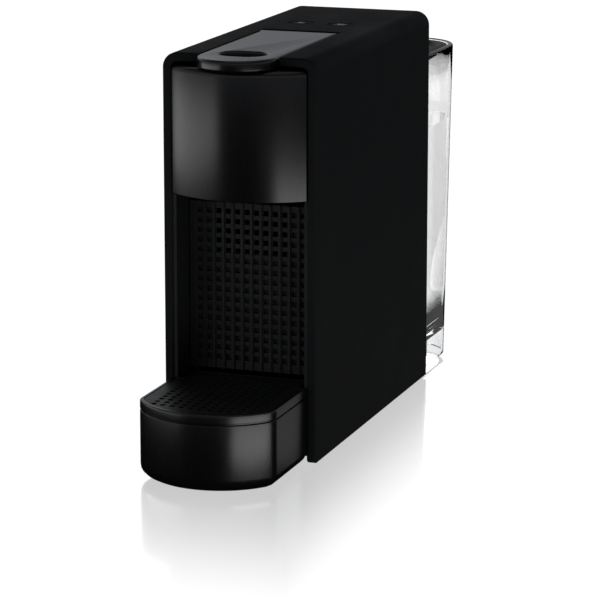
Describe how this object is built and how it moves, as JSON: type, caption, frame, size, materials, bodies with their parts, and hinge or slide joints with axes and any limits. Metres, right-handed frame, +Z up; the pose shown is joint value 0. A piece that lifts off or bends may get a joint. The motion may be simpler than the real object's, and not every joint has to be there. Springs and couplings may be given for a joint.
{
  "type": "pod coffee machine",
  "caption": "Narrow upright pod coffee machine with a flip-up lever, curved drip tray and clear rear water tank.",
  "frame": {"origin": "centre of the machine's footprint box, on the table it stands on", "axes": "+Z up, +Y from the drip tray at the front to the water tank at the rear, +X to the right of a user who faces the machine"},
  "size_m": [0.08, 0.33, 0.204],
  "materials": {
    "matte_black": "fine matt texture",
    "piano_black": "high gloss",
    "inner_black": "satin",
    "clear_tank": "clear polished copolyester",
    "rubber": "matt",
    "steel": "brushed",
    "aluminium": "cast",
    "light_plastic": "moulded",
    "copper_coil": "varnished winding",
    "circuit_board": "solder mask",
    "impeller_blue": "moulded",
    "silicone": "translucent"
  },
  "bodies": {
    "machine": {"outer_shell": "matte_black", "head_cover": "piano_black", "base_plate": "matte_black", "rear_panel": "matte_black", "recess_liner": "matte_black", "rubber_feet": "rubber", "rear_panel_screws": "steel", "base_screws": "steel", "cord_gland": "rubber", "brew_frame": "inner_black", "frame_brackets": "steel", "frame_screws": "steel", "piercing_plate": "steel", "outlet_spout": "matte_black", "capsule_chute": "matte_black", "thermoblock": "aluminium", "boiler_bracket": "steel", "thermal_fuse": "light_plastic", "vibration_pump": "copper_coil", "pump_mounts": "inner_black", "flow_meter_cup": "light_plastic", "flow_meter_cover": "light_plastic", "control_board": "circuit_board", "button_board": "circuit_board", "button_switches": "inner_black", "tank_socket": "matte_black", "socket_seal": "silicone", "suction_hose": "silicone", "meter_hose": "silicone", "pressure_hose": "silicone", "boiler_hose": "silicone"},
    "lever": {"lever": "piano_black", "lever_shaft": "steel", "cam_plate_left": "steel", "cam_plate_right": "steel"},
    "cage": {"capsule_cage": "aluminium", "cage_carriage": "inner_black", "cage_shoes": "light_plastic", "injection_needles": "steel", "drive_pin": "steel", "cage_seal": "silicone", "cage_hose": "silicone"},
    "small_cup_button": {"button_small_cup": "matte_black"},
    "large_cup_button": {"button_large_cup": "matte_black"},
    "impeller": {"flow_impeller": "impeller_blue"},
    "drip_tray": {"drip_base": "piano_black"},
    "cup_support": {"cup_support": "piano_black", "drip_grid": "matte_black"},
    "container": {"capsule_container": "matte_black", "container_grille": "matte_black"},
    "tank": {"water_tank": "clear_tank", "tank_filter": "light_plastic"},
    "lid": {"tank_lid": "matte_black"},
    "valve": {"valve_poppet": "light_plastic"}
  },
  "joints": [
    {"name": "lever_hinge", "type": "hinge", "parent": "machine", "child": "lever", "pos_m": [0, -0.01, 0.1985], "axis": [-1, 0, 0], "range_deg": [0, 85]},
    {"name": "cage_slide", "type": "slide", "parent": "machine", "child": "cage", "axis": [0, 1, 0], "range_m": [0, 0.03]},
    {"name": "small_cup_press", "type": "slide", "parent": "machine", "child": "small_cup_button", "axis": [0, 0, -1], "range_m": [0, 0.0012], "stiffness_N_per_m": 400, "springref_m": -0.0008},
    {"name": "large_cup_press", "type": "slide", "parent": "machine", "child": "large_cup_button", "axis": [0, 0, -1], "range_m": [0, 0.0012], "stiffness_N_per_m": 400, "springref_m": -0.0008},
    {"name": "impeller_spin", "type": "hinge", "parent": "machine", "child": "impeller", "pos_m": [-0.0155, 0.063, 0.0145], "axis": [0, 0, 1], "continuous": true},
    {"name": "drip_tray_slide", "type": "slide", "parent": "machine", "child": "drip_tray", "axis": [0, -1, 0], "range_m": [0, 0.16]},
    {"name": "cup_support_lift", "type": "slide", "parent": "drip_tray", "child": "cup_support", "axis": [0, 0, 1], "range_m": [0, 0.0928]},
    {"name": "container_slide", "type": "slide", "parent": "drip_tray", "child": "container", "axis": [0, -1, 0], "range_m": [0, 0.075]},
    {"name": "tank_lift", "type": "slide", "parent": "machine", "child": "tank", "axis": [0, 0, 1], "range_m": [0, 0.08]},
    {"name": "lid_lift", "type": "slide", "parent": "tank", "child": "lid", "axis": [0, 0, 1], "range_m": [0, 0.03]},
    {"name": "valve_lift", "type": "slide", "parent": "tank", "child": "valve", "axis": [0, 0, 1], "range_m": [0, 0.003], "stiffness_N_per_m": 60, "springref_m": -0.004}
  ],
  "couplings": [
    {"joint": "cage_slide", "follows": "lever_hinge", "m_per_rad": 0.020222}
  ]
}
